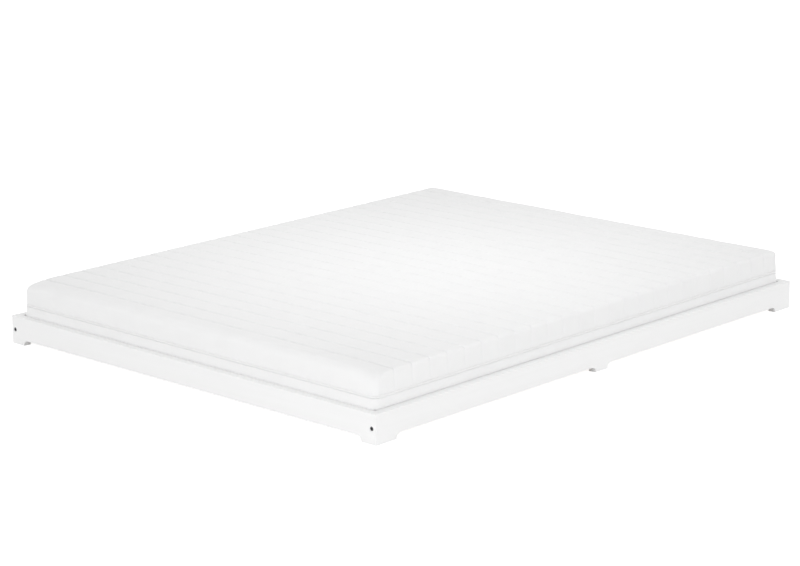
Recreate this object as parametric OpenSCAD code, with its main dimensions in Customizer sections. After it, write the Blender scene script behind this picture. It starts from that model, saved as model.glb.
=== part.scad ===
// Low futon bed in white lacquered solid wood. Four boards with shaped feet are bolted into
// a frame, a roll of slats lies on ledges and a middle beam, and the mattress lies in the frame.
// The origin is on the floor under the middle of the bed. The head end is at +Y, up is +Z.

/* [Mattress] */
// Width of the mattress
mattress_w = 1600; // [1200:50:1800]
// Length of the mattress
mattress_l = 2000; // [1900:50:2200]
// Height of the mattress at its border
mattress_h = 140; // [120:5:180]
// How much higher the mattress is in its middle
crown_h = 4; // [0:1:15]
// Radius of the mattress's corners, seen from above
corner_r = 20; // [18:1:56]
// Width of the soft rounding along the top's long sides
side_round = 20; // [12:1:35]
// Width of the soft rounding along the top's two ends
end_round = 38; // [20:1:40]
// Height of the soft rounding along the top
round_h = 30; // [20:1:40]
// How far the underside is drawn in all round
tuck = 14; // [5:1:25]
// Thickness of the quilted cover
cover_t = 10; // [6:1:14]

/* [Channels] */
// Number of channels across the top
channel_n = 25; // [12:1:30]
// Depth of a channel
channel_d = 3; // [1:0.5:5]
// Distance from the mattress's end to the middle of its first channel
channel_margin = 83; // [82:1:140]

/* [Zip] */
// Height of the zip's middle above the mattress's underside
zip_mid = 67; // [50:1:80]
// Height of the recess that the zip lies in
zip_h = 10; // [7:0.5:14]
// Depth of the recess that the zip lies in
zip_in = 2.5; // [1:0.5:4]
// Thickness of the zip's tape
tape_t = 2.5; // [1:0.5:4]
// Length of the zip's slider
slider_l = 14; // [9:1:20]
// Thickness of the zip's slider
slider_t = 4; // [3:0.5:4.5]

/* [Boards] */
// Height of the boards' upper edge above the floor
board_h = 95; // [92:1:130]
// Thickness of the boards
board_t = 27; // [25:1:34]
// Gap between the floor and the boards' lower edge
floor_gap = 18; // [16:1:22]
// Length of a foot along its board
foot_l = 60; // [45:1:100]
// Radius of the hollow between a foot and its board
foot_r = 15; // [5:1:15]
// Rounding of the boards' long edges
edge_r = 2; // [1:0.5:5]
// Gap between the mattress and the boards on each side
fit_gap = 3; // [1:0.5:6]
// How deep the mattress lies below the boards' upper edge
mattress_sink = 32; // [25:1:34]

/* [Corner joints] */
// Distance from the frame's side to the bolt's axis
bolt_in = 17; // [15:0.5:18]
// Distance from the boards' upper edge down to the bolt's axis
bolt_down = 46; // [40:1:48]
// Diameter of the bolt's shank
bolt_d = 8; // [6:1:8]
// Length of the bolt's shank
bolt_l = 72; // [64:1:80]
// Diameter of the bolt's head
bolt_head_d = 13; // [11:0.5:15]
// Height of the bolt's head
bolt_head_h = 8; // [5:0.5:9]
// How deep the bolt's head lies below the wood
bolt_sink = 1; // [0.5:0.5:3]
// Distance across the flats of the socket in the bolt's head
socket_w = 6; // [4:0.5:7]
// Diameter of the barrel nut
nut_d = 12; // [11:0.5:14]
// Length of the barrel nut
nut_l = 16; // [14:0.5:17]
// Distance from the side rail's end to the barrel nut's axis
nut_in = 38; // [36:1:42]
// Diameter of the wooden dowels
dowel_d = 8; // [6:1:10]
// Length of the wooden dowels
dowel_l = 40; // [30:2:42]
// How deep a dowel sits in the end board
dowel_in = 14; // [10:1:18]
// Distance from the bolt's axis up or down to a dowel's axis
dowel_rise = 24; // [16:1:26]

/* [Slat base] */
// Number of slats
slat_n = 20; // [14:1:22]
// Width of a slat
slat_w = 70; // [50:5:80]
// Thickness of a slat
slat_t = 18; // [16:1:22]
// Rounding of a slat's edges
slat_r = 3; // [1:0.5:5]
// Distance from the mattress's end to the first slat
slat_margin = 40; // [36:1:60]
// Distance from the bed's middle to a strap's middle
strap_x = 550; // [350:10:560]
// Width of a strap
strap_w = 16; // [14:1:30]
// Thickness of a strap
strap_t = 1; // [0.5:0.5:2]
// Length of a staple's crown
staple_w = 10; // [8:0.5:12]
// Length of a staple's legs
staple_leg = 8; // [6:1:12]

/* [Slat supports] */
// Width of the ledges, away from the rail
ledge_w = 25; // [20:1:30]
// Height of the ledges
ledge_h = 25; // [20:1:27]
// Distance from the end board to the ledge's end
ledge_end = 46; // [46:1:60]
// Number of screws in each ledge
ledge_screw_n = 8; // [5:1:12]
// Length of the ledge screws
ledge_screw_l = 45; // [38:1:46]
// Diameter of the ledge screws
ledge_screw_d = 4.5; // [3.5:0.5:5]
// Thickness of the middle beam
beam_t = 27; // [24:1:40]
// Length of a bracket's legs
bracket_leg = 24; // [20:1:30]
// Height of a bracket
bracket_h = 18; // [12:1:20]
// Thickness of a bracket's steel
bracket_t = 2; // [1.5:0.5:3]
// Length of the bracket screws
bracket_screw_l = 12; // [8:1:14]
// Diameter of the bracket screws
bracket_screw_d = 3.5; // [3:0.5:4]

/* [Hidden] */
$fn = 48;
// Clearance round dowels, shanks and other pieces that sit in a hole
hole_gap = 0.1;
// Clearance round a bolt's shank and head in the wood
bolt_gap = 0.5;
// Clearance at the middle beam's ends
beam_gap = 0.5;
// Clearance between the foam and the cover, and between the slider and the zip
soft_gap = 0.3;
// How far a cut runs past the face that it opens
past = 1;

frame_w = mattress_w + 2 * (fit_gap + board_t);
frame_l = mattress_l + 2 * (fit_gap + board_t);
inner_w = frame_w - 2 * board_t;
inner_l = frame_l - 2 * board_t;

bolt_z = board_h - bolt_down;
slat_top = board_h - mattress_sink;
slat_low = slat_top - slat_t;
slat_pitch = (mattress_l - 2 * slat_margin - slat_w) / (slat_n - 1);
strap_l = mattress_l - 2 * slat_margin;
staple_wire = 0.8;
ledge_l = inner_l - 2 * ledge_end;
ledge_screw_end = 60;
beam_l = inner_l - 2 * beam_gap;
bracket_z = (floor_gap + slat_low) / 2;

// Screw heads: diameter and height as multiples of the shank
flat_head = [2, 0.6];
pan_head = [1.9, 0.6];

// Levels of the mattress
bed_z = slat_top;
top_z = bed_z + mattress_h;
zip_z = bed_z + zip_mid - zip_h / 2;
half_w = mattress_w / 2;
half_l = mattress_l / 2;
lip_in = 1.5;

// Slats and the other pieces, by name
slat_names = [for (i = [1:slat_n]) str("slat_", i < 10 ? "0" : "", i)];

// Colours of the finishes
lacquer = [0.95, 0.95, 0.94];
pine = [0.86, 0.73, 0.54];
beech = [0.80, 0.62, 0.42];
cloth = [0.97, 0.97, 0.96];
foam = [0.93, 0.92, 0.84];
dark_steel = [0.20, 0.20, 0.21];
zinc = [0.75, 0.76, 0.78];

// A rectangle with round corners, centred on x and standing on y = 0
module rounded_rect(w, h, r) {
    translate([-w / 2 + r, 0]) square([w - 2 * r, h]);
    translate([-w / 2, r]) square([w, h - 2 * r]);
    for (x = [-1, 1], y = [r, h - r]) translate([x * (w / 2 - r), y]) circle(r);
}

// A bar with eased edges that runs along X, centred on X and Y and standing on z = 0
module eased_bar(len, wide, high, r) {
    translate([-len / 2, 0, 0]) rotate([90, 0, 90]) linear_extrude(len) rounded_rect(wide, high, r);
}

// The gap under a board from x0 to x1, with a hollow against the foot on each side
module floor_gap_outline(x0, x1) {
    translate([x0, -past]) square([x1 - x0, past + floor_gap - foot_r]);
    translate([x0 + foot_r, -past]) square([x1 - x0 - 2 * foot_r, past + floor_gap]);
    for (x = [x0 + foot_r, x1 - foot_r]) translate([x, floor_gap - foot_r]) circle(foot_r);
}

// A board along X that stands on feet, where gaps lists the stretches between its feet.
// The lower edges are eased between the hollows only.
module footed_bar(len, wide, high, gaps) {
    translate([0, 0, floor_gap]) eased_bar(len, wide, high - floor_gap, edge_r);
    rotate([90, 0, 0]) linear_extrude(wide, center = true) difference() {
        translate([-len / 2, 0]) square([len, floor_gap + edge_r]);
        for (g = gaps) {
            floor_gap_outline(g[0], g[1]);
            translate([g[0] + foot_r, 0])
                square([g[1] - g[0] - 2 * foot_r, floor_gap + edge_r + past]);
        }
    }
}

// Mirrors what is drawn for the right front corner to all four corners
module four_corners() {
    for (x = [0, 1], y = [0, 1]) mirror([x, 0, 0]) mirror([0, y, 0]) children();
}

// Mirrors what is drawn for the right side to both sides
module both_sides() {
    for (x = [0, 1]) mirror([x, 0, 0]) children();
}

// Turns a piece drawn along Z so that it points along +Y
module along_y() rotate([-90, 0, 0]) children();

// Turns a piece drawn along Z so that it points along +X
module along_x() rotate([0, 90, 0]) children();

// Moves to the bolt's axis where it enters the foot board's face
module at_bolt() translate([frame_w / 2 - bolt_in, -frame_l / 2, bolt_z]) along_y() children();

// Moves to the two dowels' axes on the face where the foot board meets the side rail
module at_dowels() {
    for (z = [-1, 1])
        translate([frame_w / 2 - board_t / 2, -frame_l / 2 + board_t, bolt_z + z * dowel_rise])
            along_y() children();
}

// Moves to the barrel nut's middle, with its length along X
module at_nut() {
    translate([frame_w / 2 - bolt_in, -frame_l / 2 + board_t + nut_in, bolt_z]) along_x() children();
}

// All that is drilled at the four corners
module corner_bores() {
    four_corners() {
        at_bolt() translate([0, 0, -past])
            cylinder(d = bolt_head_d + 2 * bolt_gap, h = past + bolt_sink + bolt_head_h);
        at_bolt() cylinder(d = bolt_d + 2 * bolt_gap, h = bolt_sink + bolt_head_h + bolt_l + past);
        at_dowels() translate([0, 0, -dowel_in - past])
            cylinder(d = dowel_d + 2 * hole_gap, h = dowel_l + 2 * past);
        at_nut() translate([0, 0, -board_t]) cylinder(d = nut_d + 2 * hole_gap, h = board_t + nut_l / 2 + past);
    }
}

// A screw along +Z with its head's top at z = 0; grow widens it into the hole that it sits in
module flat_screw(d, l, grow = 0) {
    head_d = d * flat_head[0];
    head_h = d * flat_head[1];
    cylinder(d1 = head_d + 2 * grow, d2 = d + 2 * grow, h = head_h);
    cylinder(d = d + 2 * grow, h = l - d + grow);
    translate([0, 0, l - d + grow]) cylinder(d1 = d + 2 * grow, d2 = d / 3, h = d);
}

// A screw along +Z with its domed head resting on z = 0
module pan_screw(d, l, grow = 0) {
    cylinder(d = d + 2 * grow, h = l - d + grow);
    translate([0, 0, l - d + grow]) cylinder(d1 = d + 2 * grow, d2 = d / 3, h = d);
    if (grow == 0) translate([0, 0, -d * pan_head[1]])
        cylinder(d1 = d * pan_head[0] * 0.7, d2 = d * pan_head[0], h = d * pan_head[1]);
}

// The right ledge's screws, from the ledge's free face into the rail
module at_ledge_screws() {
    span = ledge_l - 2 * ledge_screw_end;
    for (i = [0:ledge_screw_n - 1])
        translate([inner_w / 2 - ledge_w, -span / 2 + i * span / (ledge_screw_n - 1), slat_low - ledge_h / 2])
            along_x() children();
}

// The screws of the right front bracket, on its two legs
module at_bracket_screws() {
    translate([beam_t / 2 + bracket_leg * 0.6, -inner_l / 2 + bracket_t, bracket_z])
        rotate([90, 0, 0]) children();
    translate([beam_t / 2 + bracket_t, -inner_l / 2 + bracket_leg * 0.6, bracket_z])
        rotate([0, -90, 0]) children();
}

// The vertical edges on the outside of the frame, rounded off
module outer_edges() {
    four_corners() translate([frame_w / 2, -frame_l / 2, -past]) difference() {
        translate([-edge_r, -past, 0]) cube([edge_r + past, edge_r + past, board_h + 2 * past]);
        translate([-edge_r, edge_r, -past]) cylinder(r = edge_r, h = board_h + 4 * past);
    }
}

module end_board() {
    reach = frame_w / 2 - foot_l;
    difference() {
        translate([0, -frame_l / 2 + board_t / 2, 0])
            footed_bar(frame_w, board_t, board_h, [[-reach, reach]]);
        corner_bores();
        outer_edges();
        both_sides() at_bracket_screws() pan_screw(bracket_screw_d, bracket_screw_l, hole_gap);
    }
}

module side_rail() {
    reach = inner_l / 2 - foot_l;
    difference() {
        translate([frame_w / 2 - board_t / 2, 0, 0]) rotate([0, 0, 90])
            footed_bar(inner_l, board_t, board_h, [[-reach, -foot_l / 2], [foot_l / 2, reach]]);
        corner_bores();
        at_ledge_screws() flat_screw(ledge_screw_d, ledge_screw_l, hole_gap);
    }
}

module foot_board() color(lacquer) end_board();

module head_board() color(lacquer) mirror([0, 1, 0]) end_board();

module right_side_rail() color(lacquer) side_rail();

module left_side_rail() color(lacquer) mirror([1, 0, 0]) side_rail();

// Socket-head bolts: their dark heads lie in counterbores in the two end boards
module corner_bolts() {
    color(dark_steel) four_corners() at_bolt() translate([0, 0, bolt_sink]) difference() {
        union() {
            cylinder(d1 = bolt_head_d - 1, d2 = bolt_head_d, h = 0.5);
            translate([0, 0, 0.5]) cylinder(d = bolt_head_d, h = bolt_head_h - 0.5);
            translate([0, 0, bolt_head_h]) cylinder(d = bolt_d, h = bolt_l - 1);
            translate([0, 0, bolt_head_h + bolt_l - 1]) cylinder(d1 = bolt_d, d2 = bolt_d - 2, h = 1);
        }
        translate([0, 0, -past]) cylinder(d = socket_w / cos(30), h = bolt_head_h / 2 + past, $fn = 6);
    }
}

// Steel cross nuts in the side rails, with a driver slot in the end that shows
module barrel_nuts() {
    color(zinc) four_corners() difference() {
        at_nut() cylinder(d = nut_d, h = nut_l, center = true);
        at_bolt() cylinder(d = bolt_d + 2 * hole_gap, h = 2 * bolt_l);
        at_nut() translate([0, 0, -nut_l / 2]) cube([1.6, nut_d + past, 3], center = true);
    }
}

module corner_dowels() {
    color(beech) four_corners() at_dowels() translate([0, 0, -dowel_in]) {
        cylinder(d1 = dowel_d - 2, d2 = dowel_d, h = 1);
        translate([0, 0, 1]) cylinder(d = dowel_d, h = dowel_l - 2);
        translate([0, 0, dowel_l - 1]) cylinder(d1 = dowel_d, d2 = dowel_d - 2, h = 1);
    }
}

module ledge() {
    difference() {
        translate([inner_w / 2 - ledge_w / 2, 0, slat_low - ledge_h]) rotate([0, 0, 90])
            eased_bar(ledge_l, ledge_w, ledge_h, 1);
        at_ledge_screws() flat_screw(ledge_screw_d, ledge_screw_l, hole_gap);
    }
}

module right_ledge() color(pine) ledge();

module left_ledge() color(pine) mirror([1, 0, 0]) ledge();

module ledge_screws() {
    color(zinc) both_sides() at_ledge_screws() flat_screw(ledge_screw_d, ledge_screw_l);
}

// The middle beam stands on one foot and hangs in brackets at both ends
module centre_beam() {
    open_end = beam_l / 2 + foot_r + past;
    color(pine) difference() {
        rotate([0, 0, 90]) footed_bar(beam_l, beam_t, slat_low,
            [[-open_end, -foot_l / 2], [foot_l / 2, open_end]]);
        four_corners() at_bracket_screws() pan_screw(bracket_screw_d, bracket_screw_l, hole_gap);
    }
}

// Steel angles that hold the middle beam to the end boards, one on each side of each end
module beam_brackets() {
    color(zinc) four_corners() difference() {
        translate([beam_t / 2, -inner_l / 2, bracket_z - bracket_h / 2]) linear_extrude(bracket_h)
            difference() {
                union() {
                    square([bracket_leg, bracket_t]);
                    square([bracket_t, bracket_leg]);
                    square(2 * bracket_t);
                }
                translate([2 * bracket_t, 2 * bracket_t]) circle(bracket_t);
            }
        at_bracket_screws() translate([0, 0, -bracket_t])
            cylinder(d = bracket_screw_d + 2 * hole_gap, h = 3 * bracket_t);
    }
}

module bracket_screws() {
    color(zinc) four_corners() at_bracket_screws() pan_screw(bracket_screw_d, bracket_screw_l);
}

// Moves to the middle of slat number i, counted from 0 at the foot end, on the slats' underside
module at_slat(i) translate([0, -half_l + slat_margin + slat_w / 2 + i * slat_pitch, slat_low]) children();

// A staple from below, its crown along X under the strap and its legs in the slat
module staple(grow = 0) {
    wire = staple_wire + 2 * grow;
    translate([-staple_w / 2 - grow, -wire / 2, -strap_t - staple_wire])
        cube([staple_w + 2 * grow, wire, staple_wire]);
    for (x = [-1, 1]) translate([x * (staple_w - staple_wire) / 2 - wire / 2, -wire / 2, -strap_t - staple_wire])
        cube([wire, wire, staple_leg + grow]);
}

module slat(i) {
    color(pine) difference() {
        at_slat(i) eased_bar(mattress_w, slat_w, slat_t, slat_r);
        both_sides() at_slat(i) translate([strap_x, 0, 0]) staple(hole_gap);
    }
}

module strap() {
    difference() {
        translate([strap_x - strap_w / 2, -strap_l / 2, slat_low - strap_t]) cube([strap_w, strap_l, strap_t]);
        for (i = [0:slat_n - 1]) at_slat(i) translate([strap_x, 0, 0]) staple(hole_gap);
    }
}

module right_strap() color(cloth) strap();

module left_strap() color(cloth) mirror([1, 0, 0]) strap();

module strap_staples() {
    color(zinc) both_sides() for (i = [0:slat_n - 1]) at_slat(i) translate([strap_x, 0, 0]) staple();
}

// The mattress in plan. A station is [place on the straight side, share of the corner, -1 to 1,
// the corner's side, -1 or 1, or 0 outside it]; a column and a row of stations that both lie in
// a corner meet on its round.
straight_w = half_w - corner_r;
straight_l = half_l - corner_r;
channel_first = half_l - channel_margin;
channel_pitch = 2 * channel_first / (channel_n - 1);
corner_shares = [1, 0.5, 0];
cols = concat(
    [for (s = corner_shares) [-straight_w, -s, -1]],
    [for (x = [-0.5, 0, 0.5]) [x * straight_w, 0, 0]],
    [for (k = [2:-1:0]) [straight_w, corner_shares[k], 1]]);
rows = concat(
    [for (s = corner_shares) [-straight_l, -s, -1]],
    [for (k = [0:2 * channel_n - 2]) [-channel_first + k * channel_pitch / 2, 0, 0]],
    [for (k = [2:-1:0]) [straight_l, corner_shares[k], 1]]);
last_col = len(cols) - 1;
last_row = len(rows) - 1;

// Square to disc, so that a square of stations fills a round corner
function disc(a, b) = a * sqrt(1 - b * b / 2);
// Share of an inset by which a corner's centre moves in. The rest makes its radius smaller.
corner_pull = 0.6;
// Place of station a, which meets station b, where the side lies inset from the mattress's side
function place(a, b, inset) =
    a[0] - a[2] * corner_pull * inset + (corner_r - (1 - corner_pull) * inset) * disc(a[1], b[1]);
// Place of station e = [column, row] in plan
function plan(e, inset_x, inset_y) = let (c = cols[e[0]], r = rows[e[1]])
    [place(c, r, inset_x), place(r, c, inset_y)];
// 1 where row j lies in a channel, which is every other row between the two corners
function in_channel(j) = j > 2 && j < last_row - 2 && (j - 3) % 2 == 0 ? 1 : 0;
function in_corner(e) = (e[0] < 3 || e[0] > last_col - 3) && (e[1] < 3 || e[1] > last_row - 3);

// The stations round the edge, to the left seen from above, and those of them in the corners
edge_ring = concat(
    [for (i = [0:last_col - 1]) [i, 0]],
    [for (j = [0:last_row - 1]) [last_col, j]],
    [for (i = [last_col:-1:1]) [i, last_row]],
    [for (j = [last_row:-1:1]) [0, j]]);
corner_ring = [for (e = edge_ring) if (in_corner(e)) e];

// An outline in plan that lies inset from the mattress's side
function outline(inset) = [for (e = corner_ring) plan(e, inset, inset)];
function level(ring, z) = [for (p = ring) [p[0], p[1], z]];

// Faces between two rings of n points, numbered from a and b, where b follows a down the outside
function band(a, b, n) = [for (m = [0:n - 1]) let (k = (m + 1) % n)
    each [[a + m, a + k, b + k], [a + m, b + k, b + m]]];
// A cap over the ring numbered from a, seen from above or from below
function cap(a, n, up) = [for (m = [1:n - 2]) up ? [a, a + m + 1, a + m] : [a, a + m, a + m + 1]];

// Height of the crowned top over a place in plan
function crown(p) = top_z + crown_h * (1 - pow(p[0] / half_w, 2)) * (1 - pow(p[1] / half_l, 2));

// The crowned top over the whole grid of stations, with the channels pressed in
top_points = [for (j = [0:last_row], i = [0:last_col])
    let (p = plan([i, j], side_round, end_round))
    [p[0], p[1], crown(p) - channel_d * in_channel(j)]];
top_faces = [for (j = [0:last_row - 1], i = [0:last_col - 1])
    let (a = j * (last_col + 1) + i, b = a + last_col + 1)
    each [[a, b, b + 1], [a, b + 1, a + 1]]];

// The rounding's levels by their angle above the side, with the share of a channel that is left
round_levels = [[60, 1], [30, 0.7], [0, 0.5]];
// One level of the side: inset along the sides and the ends, height, and share of a channel
function side_ring(inset_x, inset_y, z, share) = [for (e = edge_ring)
    let (p = plan(e, inset_x, inset_y),
         d = in_channel(e[1]) * share * channel_d)
    [p[0] - sign(p[0]) * d, p[1], z]];
side_points = concat(
    [for (l = round_levels) each side_ring(side_round * (1 - cos(l[0])), end_round * (1 - cos(l[0])),
        top_z - round_h * (1 - sin(l[0])), l[1])],
    side_ring(lip_in, lip_in, zip_z + zip_h, 0.3));

// How many corner stations lie at or before place m of the edge ring, counted from 0. On a
// straight stretch the far half belongs to the next one.
function far_half(e) = !in_corner(e) && (
    (e[1] == 0 && cols[e[0]][0] > 0) || (e[0] == last_col && rows[e[1]][0] > 0) ||
    (e[1] == last_row && cols[e[0]][0] < 0) || (e[0] == 0 && rows[e[1]][0] < 0));
function corner_before(m) = len([for (k = [0:m]) if (in_corner(edge_ring[k])) k]) - 1
    + (far_half(edge_ring[m]) ? 1 : 0);

// The quilted upper half of the cover, hollow for the foam and open below the zip's upper lip
module mattress_cover_top() {
    n_edge = len(edge_ring);
    n_in = len(corner_ring);
    grid = len(top_points);
    lip = grid + 3 * n_edge;
    inner = lip + n_edge;
    // the grid's own edge, as indices into the top's points
    rim = [for (e = edge_ring) e[1] * (last_col + 1) + e[0]];
    hollow = outline(cover_t);
    points = concat(top_points, side_points, level(hollow, zip_z + zip_h), level(hollow, top_z - cover_t));
    first_band = [for (m = [0:n_edge - 1]) let (k = (m + 1) % n_edge)
        each [[rim[m], rim[k], grid + k], [rim[m], grid + k, grid + m]]];
    lip_faces = [for (m = [0:n_edge - 1])
        let (k = (m + 1) % n_edge, q = corner_before(m) % n_in, r = corner_before(k) % n_in)
        each concat([[lip + m, lip + k, inner + q]], q == r ? [] : [[lip + k, inner + r, inner + q]])];
    faces = concat(top_faces, first_band, band(grid, grid + n_edge, n_edge),
        band(grid + n_edge, grid + 2 * n_edge, n_edge), band(grid + 2 * n_edge, lip, n_edge),
        lip_faces, band(inner, inner + n_in, n_in), cap(inner + n_in, n_in, false));
    color(cloth) polyhedron(points, faces);
}

// The lower half of the cover: a tray whose side swells below the zip and is drawn in underneath
module mattress_cover_bottom() {
    side = [[lip_in, zip_z], [0, zip_z - 12], [0, bed_z + 28], [tuck / 4, bed_z + 9], [tuck, bed_z]];
    rings = concat(
        [level(outline(cover_t), bed_z + cover_t), level(outline(cover_t), zip_z)],
        [for (s = side) level(outline(s[0]), s[1])]);
    n = len(corner_ring);
    points = [for (r = rings) each r];
    faces = concat(cap(0, n, true), [for (k = [0:len(rings) - 2]) each band(k * n, (k + 1) * n, n)],
        cap((len(rings) - 1) * n, n, false));
    color(cloth) polyhedron(points, faces);
}

// The foam block, which fills the cover
module mattress_core() {
    color(foam) translate([0, 0, bed_z + cover_t])
        linear_extrude(mattress_h - 2 * cover_t - soft_gap) polygon(outline(cover_t + soft_gap));
}

// The zip's tape, set back between the two halves of the cover
module cover_zip() {
    color(cloth) translate([0, 0, zip_z]) linear_extrude(zip_h) difference() {
        polygon(outline(zip_in));
        polygon(outline(zip_in + tape_t));
    }
}

// The zip's slider, at the left end of its run along the head end
module zip_slider() {
    slider_h = zip_h - 2;
    color(zinc) translate([-straight_w + slider_l, half_l - zip_in + soft_gap, zip_z + zip_h / 2])
        rotate([-90, 0, 0]) difference() {
            linear_extrude(slider_t) {
                translate([-slider_l / 2 + slider_h / 2, 0]) circle(d = slider_h);
                translate([-slider_l / 2 + slider_h / 2, -slider_h * 0.35])
                    square([slider_l - slider_h / 2, slider_h * 0.7]);
            }
            translate([slider_l * 0.25, 0, slider_t / 2]) rotate([90, 0, 0])
                cylinder(d = 1.6, h = slider_h + 2, center = true);
        }
}

foot_board();
head_board();
left_side_rail();
right_side_rail();
corner_bolts();
barrel_nuts();
corner_dowels();
left_ledge();
right_ledge();
ledge_screws();
centre_beam();
beam_brackets();
bracket_screws();
for (i = [0:slat_n - 1]) slat(i);
left_strap();
right_strap();
strap_staples();
mattress_core();
mattress_cover_top();
mattress_cover_bottom();
cover_zip();
zip_slider();
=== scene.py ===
import math
import bmesh
import bpy
from mathutils import Matrix, Vector, noise


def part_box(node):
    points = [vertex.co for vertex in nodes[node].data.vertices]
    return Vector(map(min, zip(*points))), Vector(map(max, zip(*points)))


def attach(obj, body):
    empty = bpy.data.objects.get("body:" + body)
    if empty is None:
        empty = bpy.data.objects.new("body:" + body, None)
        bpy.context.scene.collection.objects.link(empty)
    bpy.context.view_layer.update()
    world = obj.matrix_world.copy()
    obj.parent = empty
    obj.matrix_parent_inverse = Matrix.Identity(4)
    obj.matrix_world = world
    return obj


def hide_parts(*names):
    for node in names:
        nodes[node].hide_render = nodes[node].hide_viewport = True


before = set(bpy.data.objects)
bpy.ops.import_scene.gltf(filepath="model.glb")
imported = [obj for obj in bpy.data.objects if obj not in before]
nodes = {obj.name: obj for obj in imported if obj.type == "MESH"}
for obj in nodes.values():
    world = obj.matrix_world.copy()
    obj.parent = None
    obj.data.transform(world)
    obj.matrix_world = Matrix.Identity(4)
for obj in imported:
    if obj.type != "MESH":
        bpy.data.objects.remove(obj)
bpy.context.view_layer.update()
scene = bpy.context.scene
mm = 0.001
print("frame loaded with", len(nodes), "nodes")

# The mattress, which the soft pieces below share: sizes in metres, from the frame where it has them
coverLow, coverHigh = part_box("mattress_cover_top")
baseLow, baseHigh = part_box("mattress_cover_bottom")
mattress = {
    "halfWide": coverHigh.x,
    "halfLong": coverHigh.y,
    "cornerRadius": 20 * mm,
    "cornerPull": 0.6,
    "underside": baseLow.z,
    "zipLow": baseHigh.z,
    "zipHigh": coverLow.z,
    "crown": 4 * mm,
    "drawnInAtZip": 0.6 * mm,
    "coverThick": 10 * mm,
}
mattress["borderTop"] = coverHigh.z - mattress["crown"]
mattress["straightWide"] = mattress["halfWide"] - mattress["cornerRadius"]
mattress["straightLong"] = mattress["halfLong"] - mattress["cornerRadius"]


# Short ways to add nodes, because every material needs many
def addNode(tree, kind, inputs=None, **settings):
    node = tree.nodes.new("ShaderNode" + kind)
    for key, value in settings.items():
        setattr(node, key, value)
    for key, value in (inputs or {}).items():
        if isinstance(value, bpy.types.NodeSocket):
            tree.links.new(value, node.inputs[key])
        else:
            node.inputs[key].default_value = value
    return node


def calc(tree, operation, first, second=0.0):
    return addNode(tree, "Math", {0: first, 1: second}, operation=operation).outputs[0]


def plus(tree, first, second):
    return calc(tree, "ADD", first, second)


def minus(tree, first, second):
    return calc(tree, "SUBTRACT", first, second)


def times(tree, first, second):
    return calc(tree, "MULTIPLY", first, second)


def over(tree, first, second):
    return calc(tree, "DIVIDE", first, second)


# A row of bows: the sine without its sign
def bows(tree, value):
    return calc(tree, "ABSOLUTE", calc(tree, "SINE", value))


# Two patterns added, each at its own share
def blendOf(tree, first, firstShare, second, secondShare):
    return plus(tree, times(tree, first, firstShare), times(tree, second, secondShare))


# Carries a value from one span over to another
def respan(tree, value, span, toSpan, **settings):
    ends = {"From Min": span[0], "From Max": span[1], "To Min": toSpan[0], "To Max": toSpan[1]}
    return addNode(tree, "MapRange", {"Value": value, **ends}, **settings).outputs[0]


def ramp(tree, value, *stops):
    node = addNode(tree, "ValToRGB", {0: value})
    while len(node.color_ramp.elements) < len(stops):
        node.color_ramp.elements.new(0.5)
    for element, (place, color) in zip(node.color_ramp.elements, stops):
        element.position = place
        element.color = (*color, 1)
    return node.outputs[0]


def mixColors(tree, share, first, second, **settings):
    node = addNode(tree, "Mix", data_type="RGBA", **settings)
    for index, value in ((0, share), (6, first), (7, second)):
        if isinstance(value, bpy.types.NodeSocket):
            tree.links.new(value, node.inputs[index])
        else:
            node.inputs[index].default_value = value if index == 0 else (*value, 1)
    return node.outputs[2]


def objectPlace(tree, scale=(1, 1, 1)):
    place = addNode(tree, "TexCoord").outputs["Object"]
    return addNode(tree, "Mapping", {"Vector": place, "Scale": scale}).outputs[0]


# A noise of the given settings, on the piece's own place unless another one is given
def noiseOf(tree, pattern, place=None):
    place = objectPlace(tree) if place is None else place
    return addNode(tree, "TexNoise", {"Vector": place, **pattern}).outputs[0]


def waveOf(tree, pattern, place, direction):
    return addNode(tree, "TexWave", {"Vector": place, **pattern}, bands_direction=direction).outputs[1]


def vectorOf(tree, x, y, z=0.0):
    return addNode(tree, "CombineXYZ", {0: x, 1: y, 2: z}).outputs[0]


def startMaterial(name, **values):
    material = bpy.data.materials.new(name)
    material.use_nodes = True
    shader = material.node_tree.nodes["Principled BSDF"]
    for key, value in values.items():
        shader.inputs[key.replace("_", " ")].default_value = value
    return material, material.node_tree, shader


def finishColor(tree, shader, color):
    tree.links.new(color, shader.inputs["Base Color"])


def finishRoughness(tree, shader, rough):
    tree.links.new(rough, shader.inputs["Roughness"])


def finishBump(tree, shader, height, strength, distance):
    bump = addNode(tree, "Bump", {"Strength": strength, "Distance": distance, "Height": height})
    tree.links.new(bump.outputs[0], shader.inputs["Normal"])


# White satin lacquer on planed wood: the grain only just telegraphs through it
lacquerLook = {
    "pale": (0.62, (0.91, 0.91, 0.91)),
    "deep": (0.35, (0.892, 0.892, 0.89)),
    "grainAlong": 2.2,
    "grainAcross": 70.0,
    "grain": {"Scale": 1.0, "Detail": 5.0, "Roughness": 0.6, "Distortion": 0.6},
    "cloud": {"Scale": 6.0, "Detail": 3.0},
    "roller": {"Scale": 700.0, "Detail": 2.0},
    "toneShares": (0.6, 0.4),
    "rollerShare": 0.3,
    "cloudSpan": (0.3, 0.7),
    "rough": (0.34, 0.44),
    "bump": (0.12, 0.4 * mm),
}


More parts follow.
